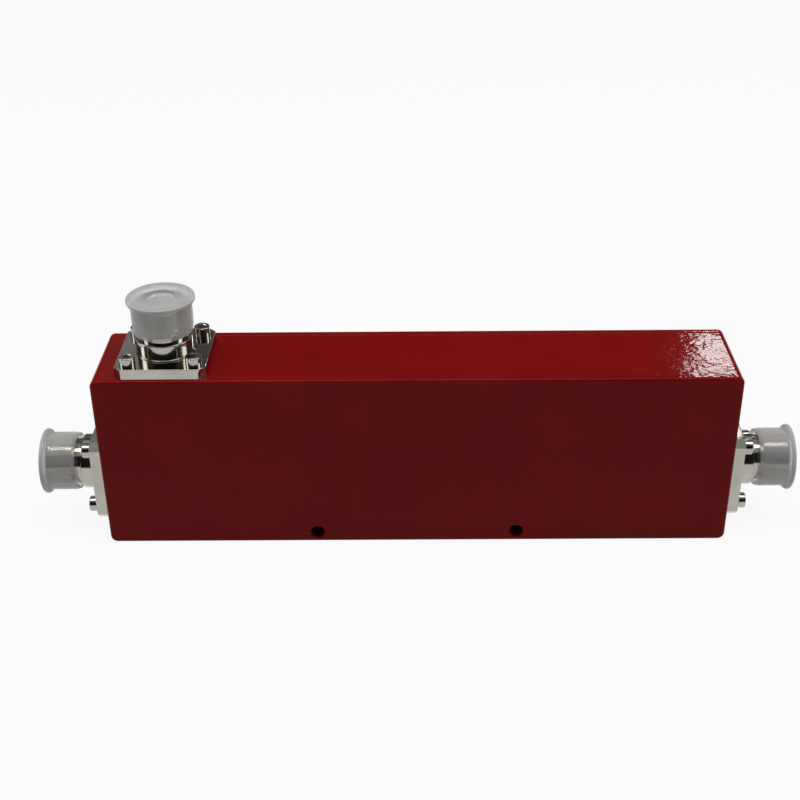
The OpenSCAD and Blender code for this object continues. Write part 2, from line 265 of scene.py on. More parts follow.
# %% Floor, walls and world
FLOOR_SIZE = 60
FLOOR_WHITE = 0.92
FLOOR_ALBEDO = 0.72
ROOM_HALF = 1.5
ROOM_HEIGHT = 2.0
ROOM_BOTTOM = -1 * MM
ROOM_GLOW = {"side_wall": 0.08, "front_wall": 0.015, "back_wall": 0.10, "ceiling": 0.45}
WALL_FACING = {(0, -1, 0): "front_wall", (0, 1, 0): "back_wall", (0, 0, 1): "ceiling"}

bpy.context.scene.view_settings.view_transform = "Standard"


def grey(tone):
    return (tone, tone, tone, 1)


def feed(tree, socket, value):
    """Links the output of a node to a socket, or sets a plain value on it."""
    if isinstance(value, bpy.types.NodeSocket):
        tree.links.new(value, socket)
    else:
        socket.default_value = value


def arithmetic(tree, operation, *terms):
    node = tree.nodes.new("ShaderNodeMath")
    node.operation = operation
    for socket, term in zip(node.inputs, terms):
        feed(tree, socket, term)
    return node.outputs["Value"]


def seen_directly(tree):
    """A value of 1 for what the camera sees, straight, mirrored or through glass, and 0 for other light."""
    path = tree.nodes.new("ShaderNodeLightPath").outputs
    mirrored = arithmetic(tree, "MAXIMUM", path["Is Glossy Ray"], path["Is Transmission Ray"])
    return arithmetic(tree, "MAXIMUM", path["Is Camera Ray"], mirrored)


def stage_finish(name):
    """A finish with no shader yet, its nodes, and the socket that its surface goes to."""
    finish = bpy.data.materials.new(name)
    finish.use_nodes = True
    tree = finish.node_tree
    tree.nodes.remove(tree.nodes["Principled BSDF"])
    return finish, tree, tree.nodes["Material Output"].inputs["Surface"]


def floor_finish():
    finish, tree, surface = stage_finish("white_floor")
    matt = tree.nodes.new("ShaderNodeBsdfDiffuse")
    matt.inputs["Color"].default_value = grey(FLOOR_ALBEDO)
    white = tree.nodes.new("ShaderNodeEmission")
    both = tree.nodes.new("ShaderNodeMixShader")
    tree.links.new(arithmetic(tree, "MULTIPLY", seen_directly(tree), FLOOR_WHITE), both.inputs["Fac"])
    tree.links.new(matt.outputs["BSDF"], both.inputs[1])
    tree.links.new(white.outputs["Emission"], both.inputs[2])
    tree.links.new(both.outputs["Shader"], surface)
    return finish


def glow_finish(name, strength):
    finish, tree, surface = stage_finish(name)
    glow = tree.nodes.new("ShaderNodeEmission")
    glow.inputs["Strength"].default_value = strength
    tree.links.new(glow.outputs["Emission"], surface)
    return finish


clear_selection()
bpy.ops.mesh.primitive_plane_add(size=FLOOR_SIZE)
floor = name_piece("floor")
floor.data.materials.append(floor_finish())

room_low = Vector((-ROOM_HALF, -ROOM_HALF, ROOM_BOTTOM))
room_high = Vector((ROOM_HALF, ROOM_HALF, ROOM_HEIGHT))
room = block("studio_room", room_low, room_high)
walls = list(ROOM_GLOW)
for wall in walls:
    room.data.materials.append(glow_finish(wall, ROOM_GLOW[wall]))
for face in room.data.polygons:
    facing = tuple(round(part) for part in face.normal)
    face.material_index = walls.index(WALL_FACING.get(facing, "side_wall"))
room.visible_camera = False
room.visible_shadow = False

world = bpy.data.worlds.new("white_world")
bpy.context.scene.world = world
world.use_nodes = True
background = world.node_tree.nodes["Background"]
background.inputs["Color"].default_value = grey(FLOOR_WHITE)
world.node_tree.links.new(seen_directly(world.node_tree), background.inputs["Strength"])
print("floor, room and world are set")

# %% [markdown]
# ### The lamps
# A long, narrow and bright lamp hangs above, a little in front, where every turn of a thread mirrors it
# as a glint. Two lamps at the sides draw the stripes on the barrels. A small lamp behind on the right
# lies where the top face mirrors it to the camera, and a faint one on the left gives the other end of
# that face a sheen.

# %% Lamps
OVERHEAD_PLACE = Vector((0, -0.06, 0.75))
SIDE_DISTANCE = 0.9
SIDE_HEIGHT = 0.52
MIRROR_DISTANCE = 0.9


def soft_lamp(name, place, aim, width, height, radiance):
    """A soft panel that glows evenly. A panel's power is its radiance times pi times its area."""
    lamp_data = bpy.data.lights.new(name, "AREA")
    lamp_data.shape = "RECTANGLE"
    lamp_data.size = width
    lamp_data.size_y = height
    lamp_data.energy = radiance * math.pi * width * height
    lamp = bpy.data.objects.new(name, lamp_data)
    lamp.location = place
    lamp.rotation_euler = (aim - place).to_track_quat("-Z", "Y").to_euler()
    lamp.visible_camera = False
    bpy.context.scene.collection.objects.link(lamp)
    print(name, round(lamp_data.energy, 2), "W")


def mirrored_in_top(x, y):
    """The place that the camera sees mirrored in the top face at x, y, and that spot of the face."""
    spot = Vector((x, y, housing_high.z))
    look = (spot - CAMERA_PLACE).normalized()
    return spot + MIRROR_DISTANCE * Vector((look.x, look.y, -look.z)), spot


soft_lamp("overhead_lamp", OVERHEAD_PLACE, TOP_POINT, width=0.9, height=0.2, radiance=5.7)
for side_name, side in (("left_lamp", -1), ("right_lamp", 1)):
    side_place = Vector((side * SIDE_DISTANCE, 0, SIDE_HEIGHT))
    soft_lamp(side_name, side_place, TOP_POINT, width=0.35, height=0.4, radiance=4.5)
soft_lamp("glint_lamp", *mirrored_in_top(x=87 * MM, y=-1 * MM), width=0.053, height=0.048, radiance=22.0)
soft_lamp("sheen_lamp", *mirrored_in_top(x=-90 * MM, y=0), width=0.16, height=0.14, radiance=0.22)

# %% [markdown]
# ## Shared surface effects
# Two effects come back in most finishes. Mottle is the soft unevenness that handling and plating leave,
# and it varies colour and gloss. Orange peel is the small-scale waviness of a sprayed coat or a moulded
# skin, and it only tilts the surface. Each is a node group with its own scale, so that every finish can
# use it its own way.

# %% Mottle and orange peel
MOTTLE_DETAIL = 4.0
MOTTLE_RANGE = (0.3, 0.7)
RIPPLE_DETAIL = 1.0
SWELL_DETAIL = 0.0
SWELL_SCALE = 0.3
SWELL_HEIGHT = 1.2
RANGE_SOCKETS = ("From Min", "From Max", "To Min", "To Max")


def new_group(name, output):
    """A node group with its given values and the sockets for its results."""
    tree = bpy.data.node_groups.new(name, "ShaderNodeTree")
    tree.interface.new_socket("Vector", in_out="INPUT", socket_type="NodeSocketVector")
    tree.interface.new_socket("Scale", in_out="INPUT", socket_type="NodeSocketFloat")
    tree.interface.new_socket(output, in_out="OUTPUT", socket_type="NodeSocketFloat")
    return tree, tree.nodes.new("NodeGroupInput").outputs, tree.nodes.new("NodeGroupOutput").inputs


def noise(tree, vector, scale, detail):
    node = tree.nodes.new("ShaderNodeTexNoise")
    node.inputs["Detail"].default_value = detail
    tree.links.new(vector, node.inputs["Vector"])
    tree.links.new(scale, node.inputs["Scale"])
    return node.outputs["Fac"]


def spread(tree, value, source=(0, 1), target=(0, 1)):
    """Maps a value from one range to another and keeps it within that."""
    node = tree.nodes.new("ShaderNodeMapRange")
    for name, limit in zip(RANGE_SOCKETS, (*source, *target)):
        node.inputs[name].default_value = limit
    tree.links.new(value, node.inputs["Value"])
    return node.outputs["Result"]


def make_mottle():
    tree, given, results = new_group("mottle", "Amount")
    cloud = noise(tree, given["Vector"], given["Scale"], MOTTLE_DETAIL)
    tree.links.new(spread(tree, cloud, source=MOTTLE_RANGE), results["Amount"])
    return tree


def make_orange_peel():
    """A fine ripple on top of a slower swell."""
    tree, given, results = new_group("orange_peel", "Height")
    ripple = noise(tree, given["Vector"], given["Scale"], RIPPLE_DETAIL)
    slower = arithmetic(tree, "MULTIPLY", given["Scale"], SWELL_SCALE)
    swell = noise(tree, given["Vector"], slower, SWELL_DETAIL)
    tree.links.new(arithmetic(tree, "MULTIPLY_ADD", swell, SWELL_HEIGHT, ripple), results["Height"])
    return tree


mottle = make_mottle()
orange_peel = make_orange_peel()
print("groups", [group.name for group in bpy.data.node_groups])

# %% [markdown]
# ## Finishes
# Every finish is one Principled shader. What is the same all over is set on the shader itself. What
# varies is read from the groups: the colour runs between two close tones, the gloss between two roughness
# values, and the surface is tilted by a bump of at most a few hundredths of a millimetre.

# %% Finish helpers
def shader_inputs(finish):
    return finish.node_tree.nodes["Principled BSDF"].inputs


def new_finish(name, plain):
    finish = bpy.data.materials.new(name)
    finish.use_nodes = True
    for socket, value in plain.items():
        shader_inputs(finish)[socket].default_value = value
    point = finish.node_tree.nodes.new("ShaderNodeTexCoord")
    point.name = "point"
    return finish


def effect(finish, group, scale):
    tree = finish.node_tree
    node = tree.nodes.new("ShaderNodeGroup")
    node.node_tree = group
    node.inputs["Scale"].default_value = scale
    tree.links.new(tree.nodes["point"].outputs["Object"], node.inputs["Vector"])
    return node.outputs[0]


def blend(tree, kind, share, first, second):
    """Goes from the first value to the second as the share grows. Each is plain or the output of a node."""
    node = tree.nodes.new("ShaderNodeMix")
    node.data_type = kind
    for name, value in (("Factor", share), ("A", first), ("B", second)):
        feed(tree, node.inputs[name], value)
    return node.outputs["Result"]


def vary_colour(finish, scale, dark, pale):
    tree = finish.node_tree
    colour = blend(tree, "RGBA", effect(finish, mottle, scale), (*dark, 1), (*pale, 1))
    tree.links.new(colour, shader_inputs(finish)["Base Color"])


def vary_roughness(finish, scale, low, high):
    tree = finish.node_tree
    roughness = spread(tree, effect(finish, mottle, scale), target=(low, high))
    tree.links.new(roughness, shader_inputs(finish)["Roughness"])


def ripple_surface(finish, scale, depth):
    tree = finish.node_tree
    bump = tree.nodes.new("ShaderNodeBump")
    bump.inputs["Distance"].default_value = depth
    tree.links.new(effect(finish, orange_peel, scale), bump.inputs["Height"])
    tree.links.new(bump.outputs["Normal"], shader_inputs(finish)["Normal"])


# %% [markdown]
# ### Red paint
# A sprayed enamel: deep red, glossy, with orange peel that breaks up the edges of a mirrored lamp. Its
# reflection is kept weak, so that the white floor doesn't wash the red out.

# %% Red paint
red_enamel = new_finish("red_enamel", {"Specular IOR Level": 0.065})
vary_colour(red_enamel, scale=45, dark=(0.180, 0.0030, 0.0025), pale=(0.209, 0.0044, 0.0036))
vary_roughness(red_enamel, scale=90, low=0.06, high=0.12)
ripple_surface(red_enamel, scale=520, depth=0.05 * MM)
print(red_enamel.name, "has", len(red_enamel.node_tree.nodes), "nodes")

# %% [markdown]
# ### Metals
# The connectors have bright nickel plate: a slightly warm mirror on the milled flange, a little duller
# where the lathe has left its marks, and dullest in the bore. Each shell carries that as an attribute of
# its points. The screws are plain steel. Inside, the lines are silver-plated and the contacts
# gold-plated.

# %% Metals
def metal(name, dark, pale, smooth, rough, ripple):
    finish = new_finish(name, {"Metallic": 1.0})
    vary_colour(finish, scale=160, dark=dark, pale=pale)
    vary_roughness(finish, scale=300, low=smooth, high=rough)
    ripple_surface(finish, scale=900, depth=ripple)
    return finish


def point_value(tree, name):
    """The value that a piece's own points carry under this name."""
    node = tree.nodes.new("ShaderNodeAttribute")
    node.attribute_name = name
    return node.outputs["Fac"]


def roughen_turned(finish, extra):
    """Adds to the roughness as far as a piece's own points say that the lathe has dulled it."""
    tree = finish.node_tree
    roughness = shader_inputs(finish)["Roughness"]
    undulled = roughness.links[0].from_socket
    dulled = arithmetic(tree, "MULTIPLY_ADD", point_value(tree, "turned"), extra, undulled)
    tree.links.new(dulled, roughness)


bright_nickel = metal("bright_nickel", dark=(0.37, 0.357, 0.315), pale=(0.43, 0.417, 0.37),
                      smooth=0.05, rough=0.10, ripple=0.0008 * MM)
roughen_turned(bright_nickel, extra=0.05)
plain_steel = metal("plain_steel", dark=(0.36, 0.35, 0.33), pale=(0.44, 0.43, 0.41),
                    smooth=0.12, rough=0.22, ripple=0.0015 * MM)
silver_coat = metal("silver_coat", dark=(0.86, 0.85, 0.81), pale=(0.92, 0.91, 0.88),
                    smooth=0.12, rough=0.25, ripple=0.001 * MM)
gold_coat = metal("gold_coat", dark=(0.80, 0.58, 0.22), pale=(0.88, 0.66, 0.28),
                  smooth=0.10, rough=0.20, ripple=0.001 * MM)
print("metals", [finish.name for finish in (bright_nickel, plain_steel, silver_coat, gold_coat)])

# %% [markdown]
# ### Plastics and ceramic
# The caps are soft polyethylene, milky but thin enough to show the thread inside. A thin sheet of it acts
# like a veil: part of the light goes straight through, which a partial alpha gives, and part is scattered
# inside, which subsurface gives. Where the plastic is thick, as in the brim, the veil is denser and
# greyer, and each cap carries that as an attribute of its points. Seen edge on, a thin wall bends the
# dark metal behind it into view. Here that is painted shade: Layer Weight makes the edge denser and
# paints it darker. The insulators and the
# chip are opaque white.

# %% Plastics and ceramic
THIN_VEIL = 0.31
THICK_VEIL = 0.85
THICK_GREY = (0.50, 0.50, 0.495, 1)
EDGE_VEIL = 0.95
# Painted shade: a dark tone painted on the edge of a thin wall, standing for the metal seen through it
EDGE_PAINTED_SHADE = (0.26, 0.26, 0.257, 1)
EDGE_BLEND = 0.28
SCATTER_REACH = 1.5 * MM


def veil_from_points(finish):
    """Alpha and greyness follow the thickness that the points carry. The edge of a thin wall gets a denser
    alpha and a painted shade, which stands for the dark metal seen through it.
    """
    tree = finish.node_tree
    shader = shader_inputs(finish)
    veil = point_value(tree, "veil")
    weight = tree.nodes.new("ShaderNodeLayerWeight")
    weight.inputs["Blend"].default_value = EDGE_BLEND
    edge = weight.outputs["Facing"]
    tree.links.new(blend(tree, "FLOAT", edge, veil, EDGE_VEIL), shader["Alpha"])
    thick = spread(tree, veil, source=(THIN_VEIL, THICK_VEIL))
    # Painted shade: Layer Weight paints the edge of a thin wall darker
    thin_edge_painted_shade = arithmetic(tree, "MULTIPLY", arithmetic(tree, "SUBTRACT", 1, thick), edge)
    milky = shader["Base Color"].links[0].from_socket
    greyed = blend(tree, "RGBA", thick, milky, THICK_GREY)
    tree.links.new(blend(tree, "RGBA", thin_edge_painted_shade, greyed, EDGE_PAINTED_SHADE), shader["Base Color"])


milky_plastic = new_finish("milky_plastic", {
    "IOR": 1.5,
    "Subsurface Weight": 1.0,
    "Subsurface Scale": SCATTER_REACH,
    "Subsurface Radius": (1, 1, 1)})
vary_colour(milky_plastic, scale=120, dark=(0.91, 0.91, 0.905), pale=(0.97, 0.97, 0.965))
vary_roughness(milky_plastic, scale=200, low=0.38, high=0.50)
ripple_surface(milky_plastic, scale=500, depth=0.01 * MM)
veil_from_points(milky_plastic)

white_plastic = new_finish("white_plastic", {"IOR": 1.38})
vary_colour(white_plastic, scale=120, dark=(0.84, 0.84, 0.82), pale=(0.90, 0.90, 0.88))
vary_roughness(white_plastic, scale=200, low=0.40, high=0.52)

white_ceramic = new_finish("white_ceramic", {})
vary_colour(white_ceramic, scale=400, dark=(0.84, 0.82, 0.78), pale=(0.89, 0.87, 0.84))
vary_roughness(white_ceramic, scale=400, low=0.45, high=0.60)
print("plastics and ceramic", [finish.name for finish in (milky_plastic, white_plastic, white_ceramic)])

# %% [markdown]
# ### A finish for every node
# The record says which material each node has. The pieces inside the box keep the frame's own shape and
# only need their finish. The pieces that show are modelled below, and each then stands for its node.

# %% Finishes of the nodes
FINISHES = {
    "red_paint": red_enamel,
    "nickel_plate": bright_nickel,
    "screw_steel": plain_steel,
    "silver_plate": silver_coat,
    "gold_plate": gold_coat,
    "milky_cap": milky_plastic,
    "white_insulator": white_plastic,
    "ceramic": white_ceramic,
}


def dress(piece, slot, node):
    """Gives a finished piece its finish, and lets it stand for its node of the frame."""
    piece.data.materials.clear()
    piece.data.materials.append(FINISHES[slot])
    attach(piece, "root")
    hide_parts(node)


for subpart in frame["record"]["subparts"]:
    slots = frame["nodes"][subpart["node"]].data.materials
    slots.clear()
    slots.append(FINISHES[subpart["material_slot"]])

# %% [markdown]
# ## Where the connectors sit
# Each port is a place on the outside of the housing and a turn that sends +Z out of it. A connector is
# modelled once, standing on the origin, and copied to the three ports.

# %% Ports
def port_at(node, rotation):
    """The point where a connector's axis leaves the housing, and the turn that points +Z out there."""
    low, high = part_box(node)
    middle = (low + high) / 2
    out = [round(part) for part in Euler(rotation).to_matrix() @ Vector((0, 0, 1))]
    outside = housing_high if sum(out) > 0 else housing_low
    place = Vector([o if leaves else m for o, leaves, m in zip(outside, out, middle)])
    return place, rotation


PORTS = {
    "input": port_at("input_insulator", (0, -math.pi / 2, 0)),
    "output": port_at("output_insulator", (0, math.pi / 2, 0)),
    "coupled": port_at("coupled_insulator", (0, 0, 0)),
}
for port, (place, rotation) in PORTS.items():
    print(port, in_mm(place))

# %% Sizes of a connector
CAP_HEAD_RADIUS = 2.25 * MM
CAP_HEAD_HEIGHT = 2.5 * MM


def port_box(node):
    """The box of a node at the top port, with the port at the origin."""
    return [corner - PORTS["coupled"][0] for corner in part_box(node)]


shell_low, shell_high = port_box("coupled_connector_shell")
core_low, core_high = port_box("coupled_insulator")
screws_low, screws_high = port_box("coupled_flange_screws")
cap_low, cap_high = port_box("coupled_dust_cap")
flange_thick = screws_high.z - CAP_HEAD_HEIGHT
screw_reach = screws_high.x - CAP_HEAD_RADIUS
screw_spots = [Vector((x, y, 0)) for x in (-screw_reach, screw_reach) for y in (-screw_reach, screw_reach)]
print("flange", round(flange_thick / MM, 2), "mm thick, screws", round(2 * screw_reach / MM, 2), "mm apart")

# %% [markdown]
# ## The painted housing
# The housing is a block milled out from behind. The block gets its rounded corners first, then the soft
# front edge that the paint leaves and the finer edge at the seam, because edges are easiest to pick
# before anything is cut.

# %% Block with rounded edges
CORNER_RADIUS = 2 * MM
FRONT_EDGE = 0.9 * MM
SEAM_EDGE = 0.35 * MM
CORNER_STEPS = 8
EDGE_STEPS = 5


def along_y(a, b):
    return near(a.x, b.x) and near(a.z, b.z)


def at_depth(y):
    return lambda a, b: near(a.y, y) and near(b.y, y)


def edged_block(name, low, high, front_edge, back_edge):
    """A block with round corners and a soft edge round its front and its back."""
    piece = block(name, low, high)
    round_edges(piece, along_y, CORNER_RADIUS, CORNER_STEPS)
    round_edges(piece, at_depth(low.y), front_edge, EDGE_STEPS)
    round_edges(piece, at_depth(high.y), back_edge, EDGE_STEPS)
    return piece


housing = edged_block("painted_housing", housing_low, housing_high, FRONT_EDGE, SEAM_EDGE)

# %% [markdown]
# ### Channels
# One channel holds the main line and one the coupled line, with a window in the rib between them. Their
# corners have the radius of the cutter. The coupled channel is shallower at its end, where the load
# resistor is seated.

# %% Channels, window and resistor pad
OVER = 1 * MM
CUTTER_RADIUS = 3 * MM
CUTTER_STEPS = 6
WINDOW_GAP = 3.5 * MM
main_low, main_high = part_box("main_line_support_right")
side_low, side_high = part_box("coupled_line_support_right")
load_low, load_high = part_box("load_flange")
line_low, line_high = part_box("coupled_line")
cavity_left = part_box("input_insulator")[1].x
cavity_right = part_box("output_insulator")[0].x
open_back = housing_high.y + OVER
pad_edge = (line_high.x + load_low.x) / 2
window_end = main_low.x - WINDOW_GAP


def mill(low, high, corner=CUTTER_RADIUS):
    cutter = block("cutter", Vector(low), Vector(high))
    if corner:
        round_edges(cutter, along_y, corner, CUTTER_STEPS)
    combine(housing, cutter, "DIFFERENCE")


mill((cavity_left, main_low.y, main_low.z), (cavity_right, open_back, main_high.z))
mill((cavity_left, side_low.y, side_low.z), (pad_edge, open_back, side_high.z))
mill((cavity_left, load_low.y, side_low.z), (cavity_right, open_back, side_high.z))
mill((-window_end, main_low.y, main_high.z - OVER), (window_end, open_back, side_low.z + OVER), corner=0)
print("the channels are milled")

# %% [markdown]
# ### Holes
# Every port has a bore for its insulator and four tapped holes. Two mounting holes run through from the
# front, with a small lip where the drill went in. The cover's screws and the resistor's screw have tapped
# holes from behind.

# %% Holes of the housing
FIT = 0.05 * MM
TAPPED_RADIUS = 1.3 * MM
TAPPED_STEPS = 32
HOLE_SPARE = 0.8 * MM
HOLE_STEPS = 48
HOLE_LIP = 0.25 * MM
MOUNT_SPACING = 58 * MM
MOUNT_RADIUS = 2 * MM
MOUNT_HEIGHT = 3.3 * MM
COVER_TAP_RADIUS = 1.55 * MM
COVER_TAP_DEPTH = 5.8 * MM
COVER_SCREW_INSET = 3.5 * MM
COVER_SCREW_END = 6 * MM
COVER_SCREW_ROW = (-1, -0.5, 0, 0.5, 1)
LOAD_SCREW_DEPTH = 6.8 * MM
INTO_FRONT = (-math.pi / 2, 0, 0)
INTO_BACK = (math.pi / 2, 0, 0)

core_bore = core_high.x + FIT
for place, rotation in PORTS.values():
    drill(housing, straight_bit(core_bore, core_low.z - OVER, OVER), [place], rotation)
    turn = Euler(rotation).to_matrix()
    drill(housing, straight_bit(TAPPED_RADIUS, screws_low.z - HOLE_SPARE, OVER, TAPPED_STEPS),
          [place + turn @ spot for spot in screw_spots], rotation)


def lipped_bit(depth):
    """A bit that also breaks the edge of the hole where it goes in."""
    rings = [(MOUNT_RADIUS + 2 * HOLE_LIP, -HOLE_LIP), (MOUNT_RADIUS, HOLE_LIP), (MOUNT_RADIUS, depth)]
    return turned("bit", rings, HOLE_STEPS)


front = Vector((0, housing_low.y, 0))
seam = Vector((0, housing_high.y, 0))
housing_depth = housing_high.y - housing_low.y
mount_spots = [Vector((side * MOUNT_SPACING / 2, 0, MOUNT_HEIGHT)) for side in (-1, 1)]
drill(housing, lipped_bit(housing_depth + OVER), [front + spot for spot in mount_spots], INTO_FRONT)

side_height = (line_low.z + line_high.z) / 2
row_end = housing_high.x - COVER_SCREW_END
cover_spots = [Vector((row_end * share, 0, height)) for share in COVER_SCREW_ROW
               for height in (COVER_SCREW_INSET, housing_high.z - COVER_SCREW_INSET)]
cover_spots += [Vector((side * (housing_high.x - COVER_SCREW_INSET), 0, side_height)) for side in (-1, 1)]
drill(housing, straight_bit(COVER_TAP_RADIUS, -OVER, COVER_TAP_DEPTH, TAPPED_STEPS),
      [seam + spot for spot in cover_spots], INTO_BACK)

load_screw_low, load_screw_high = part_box("load_screw")
load_spot = (load_screw_low + load_screw_high) / 2
load_spot.y = load_low.y
load_tap_depth = LOAD_SCREW_DEPTH - (load_high.y - load_low.y)
drill(housing, straight_bit(TAPPED_RADIUS, -OVER, load_tap_depth, TAPPED_STEPS), [load_spot], INTO_BACK)
finish_shading(housing)
dress(housing, "red_paint", "housing")

# %% [markdown]
# ## The rear cover
# A painted plate with the same outline. Twelve countersunk screws hold it, and the two mounting holes run
# on through it. The countersinks are cut with a bit that has the cone of the screw head.

# %% Rear cover
COVER_HOLE_RADIUS = 1.7 * MM
HEAD_RADIUS = 2.8 * MM
HEAD_HEIGHT = 1.3 * MM
COVER_SEAM_EDGE = 0.6 * MM
COVER_BACK_EDGE = 1.2 * MM
back = Vector((0, cover_high.y, 0))
cover_thick = cover_high.y - cover_low.y

cover = edged_block("painted_rear_cover", cover_low, cover_high, COVER_SEAM_EDGE, COVER_BACK_EDGE)
countersink = turned("bit", [
    (HEAD_RADIUS + FIT, -OVER),
    (HEAD_RADIUS + FIT, 0),
    (COVER_HOLE_RADIUS, HEAD_RADIUS - COVER_HOLE_RADIUS),
    (COVER_HOLE_RADIUS, cover_thick + OVER)], HOLE_STEPS)
drill(cover, countersink, [back + spot for spot in cover_spots], INTO_BACK)
drill(cover, lipped_bit(cover_thick + OVER), [back + spot for spot in mount_spots], INTO_BACK)
finish_shading(cover)
dress(cover, "red_paint", "rear_cover")

# %% [markdown]
# ## Screws
# Both kinds of screw are turned from the tip up, and the hex socket is cut with a six-sided bit that
# flares at the mouth. No two screws on a real part end up turned alike, so every copy has its own angle.

# %% Socket cut and cover screws
HEX_SIDES = 6
HEX_FLATS = 2 * MM
SOCKET_DEPTH = 1.25 * MM
SOCKET_FLARE = 0.12 * MM
COVER_SHANK = 1.5 * MM
COVER_SCREW_LENGTH = 8 * MM
COVER_SCREW_STEPS = 48
TIP_CHAMFER = 0.3 * MM
TURN_STEP = math.radians(37)


def cut_socket(screw, top):
    corner = HEX_FLATS / 2 / math.cos(math.pi / HEX_SIDES)
    bit = turned("bit", [
        (corner, top - SOCKET_DEPTH),
        (corner, top - SOCKET_FLARE),
        (corner + 2 * SOCKET_FLARE, top + SOCKET_FLARE)], HEX_SIDES)
    combine(screw, bit, "DIFFERENCE")


cover_screw = turned("cover_screw", [
    (COVER_SHANK - TIP_CHAMFER, -COVER_SCREW_LENGTH),
    (COVER_SHANK, TIP_CHAMFER - COVER_SCREW_LENGTH),
    (COVER_SHANK, -HEAD_HEIGHT),
    (HEAD_RADIUS, 0)], COVER_SCREW_STEPS)
cut_socket(cover_screw, 0)
cover_screws = join_copies(cover_screw, "cover_screw_set", [
    (back + spot, Euler((-math.pi / 2, number * TURN_STEP, 0)))
    for number, spot in enumerate(cover_spots)])
finish_shading(cover_screws)
dress(cover_screws, "screw_steel", "cover_screws")

# %% Flange screws
FLANGE_SHANK = 1.25 * MM
FLANGE_SCREW_STEPS = 64
CAP_HEAD_RIM = 0.3 * MM
RIM_STEPS = 4
flange_shank_end = screws_low.z - flange_thick
seat = Vector((0, 0, flange_thick))

flange_screw = turned("flange_screw", [
    (FLANGE_SHANK - TIP_CHAMFER, flange_shank_end),
    (FLANGE_SHANK, flange_shank_end + TIP_CHAMFER),
    (FLANGE_SHANK, 0),
    (CAP_HEAD_RADIUS, 0),
    (CAP_HEAD_RADIUS, CAP_HEAD_HEIGHT)], FLANGE_SCREW_STEPS)
round_edges(flange_screw, on_ring(CAP_HEAD_RADIUS, CAP_HEAD_HEIGHT), CAP_HEAD_RIM, RIM_STEPS)
cut_socket(flange_screw, CAP_HEAD_HEIGHT)
flange_screws = join_copies(flange_screw, "flange_screw_set", [
    (seat + spot, Euler((0, 0, number * TURN_STEP))) for number, spot in enumerate(screw_spots)])
finish_shading(flange_screws)

# %% [markdown]
# ## The connector shell
# A shell is turned from bar with a square flange. The blank is modelled first: the flange is a block with
# clipped corners, and the barrel is turned with its foot, its relief neck, its chamfers and its bore.

# %% Shell blank
FLANGE_CORNER = 2 * MM
FLANGE_EDGE = 0.2 * MM
FLANGE_EDGE_STEPS = 3
SCREW_HOLE = 1.45 * MM
BARREL_RADIUS = 8 * MM
BARREL_LENGTH = 7.6 * MM
BARREL_EDGE = 0.3 * MM
BARREL_FOOT = 0.35 * MM
FOOT_STEPS = 3
NECK_RADIUS = 6.7 * MM
NECK_LENGTH = 2 * MM
THREAD_RADIUS = 15.875 / 2 * MM
THREAD_CHAMFER = 0.8 * MM
MATING_RADIUS = 4.2 * MM
MATING_LEAD = 0.6 * MM
shell_length = shell_high.z
core_reach = core_high.z
thread_start = BARREL_LENGTH + NECK_LENGTH
foot_radius = BARREL_RADIUS + BARREL_FOOT
foot_top = flange_thick + BARREL_FOOT


def along_z(a, b):
    return near(a.x, b.x) and near(a.y, b.y)


def on_flange_face(a, b):
    return near(a.z, flange_thick) and near(b.z, flange_thick)


shell = block("connector_shell", shell_low, Vector((shell_high.x, shell_high.y, flange_thick)))
round_edges(shell, along_z, FLANGE_CORNER, segments=1)
round_edges(shell, on_flange_face, FLANGE_EDGE, FLANGE_EDGE_STEPS)
drill(shell, straight_bit(SCREW_HOLE, -OVER, flange_thick + OVER, HOLE_STEPS), screw_spots)
combine(shell, straight_bit(BARREL_RADIUS - OVER, -OVER, flange_thick + OVER), "DIFFERENCE")
barrel = turned("barrel", [
    (core_bore, 0),
    (foot_radius, 0),
    (foot_radius, foot_top),
    (BARREL_RADIUS, foot_top),
    (BARREL_RADIUS, BARREL_LENGTH),
    (NECK_RADIUS, BARREL_LENGTH),
    (NECK_RADIUS, thread_start),
    (THREAD_RADIUS - THREAD_CHAMFER, thread_start),
    (THREAD_RADIUS, thread_start + THREAD_CHAMFER),
    (THREAD_RADIUS, shell_length - THREAD_CHAMFER),
    (THREAD_RADIUS - THREAD_CHAMFER, shell_length),
    (MATING_RADIUS + MATING_LEAD, shell_length),
    (MATING_RADIUS, shell_length - MATING_LEAD),
    (MATING_RADIUS, core_reach),
    (core_bore, core_reach),
    (core_bore, 0)])
round_edges(barrel, on_ring(BARREL_RADIUS, BARREL_LENGTH), BARREL_EDGE, RIM_STEPS)
round_edges(barrel, on_ring(foot_radius, foot_top), BARREL_FOOT / 2, FOOT_STEPS)
combine(shell, barrel, "UNION")
print("shell blank", in_mm(shell.dimensions), "mm")

# %% [markdown]
# ### The thread
# The thread is cut as on a lathe: a three-sided circle is the 60 degree tool, the Screw modifier winds it
# along the nose, and a Boolean takes the groove out. The tip of the tool is flattened, which leaves a
# flat root. Its outer end is flared, which leaves soft shoulders on the crests, and those are what glints
# through the cap.

# %% Tool for the thread
THREAD_PITCH = 25.4 / 24 * MM
CREST_FLAT = THREAD_PITCH / 3
CREST_SHOULDER = 0.05 * MM
ROOT_FLAT = THREAD_PITCH / 10
TOOL_SPARE = 0.03 * MM
TOOL_SIDES = 3
STEEP = math.tan(math.pi / 3)
shoulder = THREAD_RADIUS - CREST_SHOULDER
half_mouth = (THREAD_PITCH - CREST_FLAT) / 2
half_flank = half_mouth - CREST_SHOULDER * STEEP
groove_depth = half_flank * STEEP + CREST_SHOULDER
tool_radius = (groove_depth + TOOL_SPARE) * 2 / 3
tool_middle = THREAD_RADIUS - groove_depth + tool_radius
tool_height = thread_start - THREAD_PITCH / 2
outside_shoulder = CREST_SHOULDER + TOOL_SPARE
flare = (half_flank + outside_shoulder * STEEP) / (half_flank + outside_shoulder / STEEP)


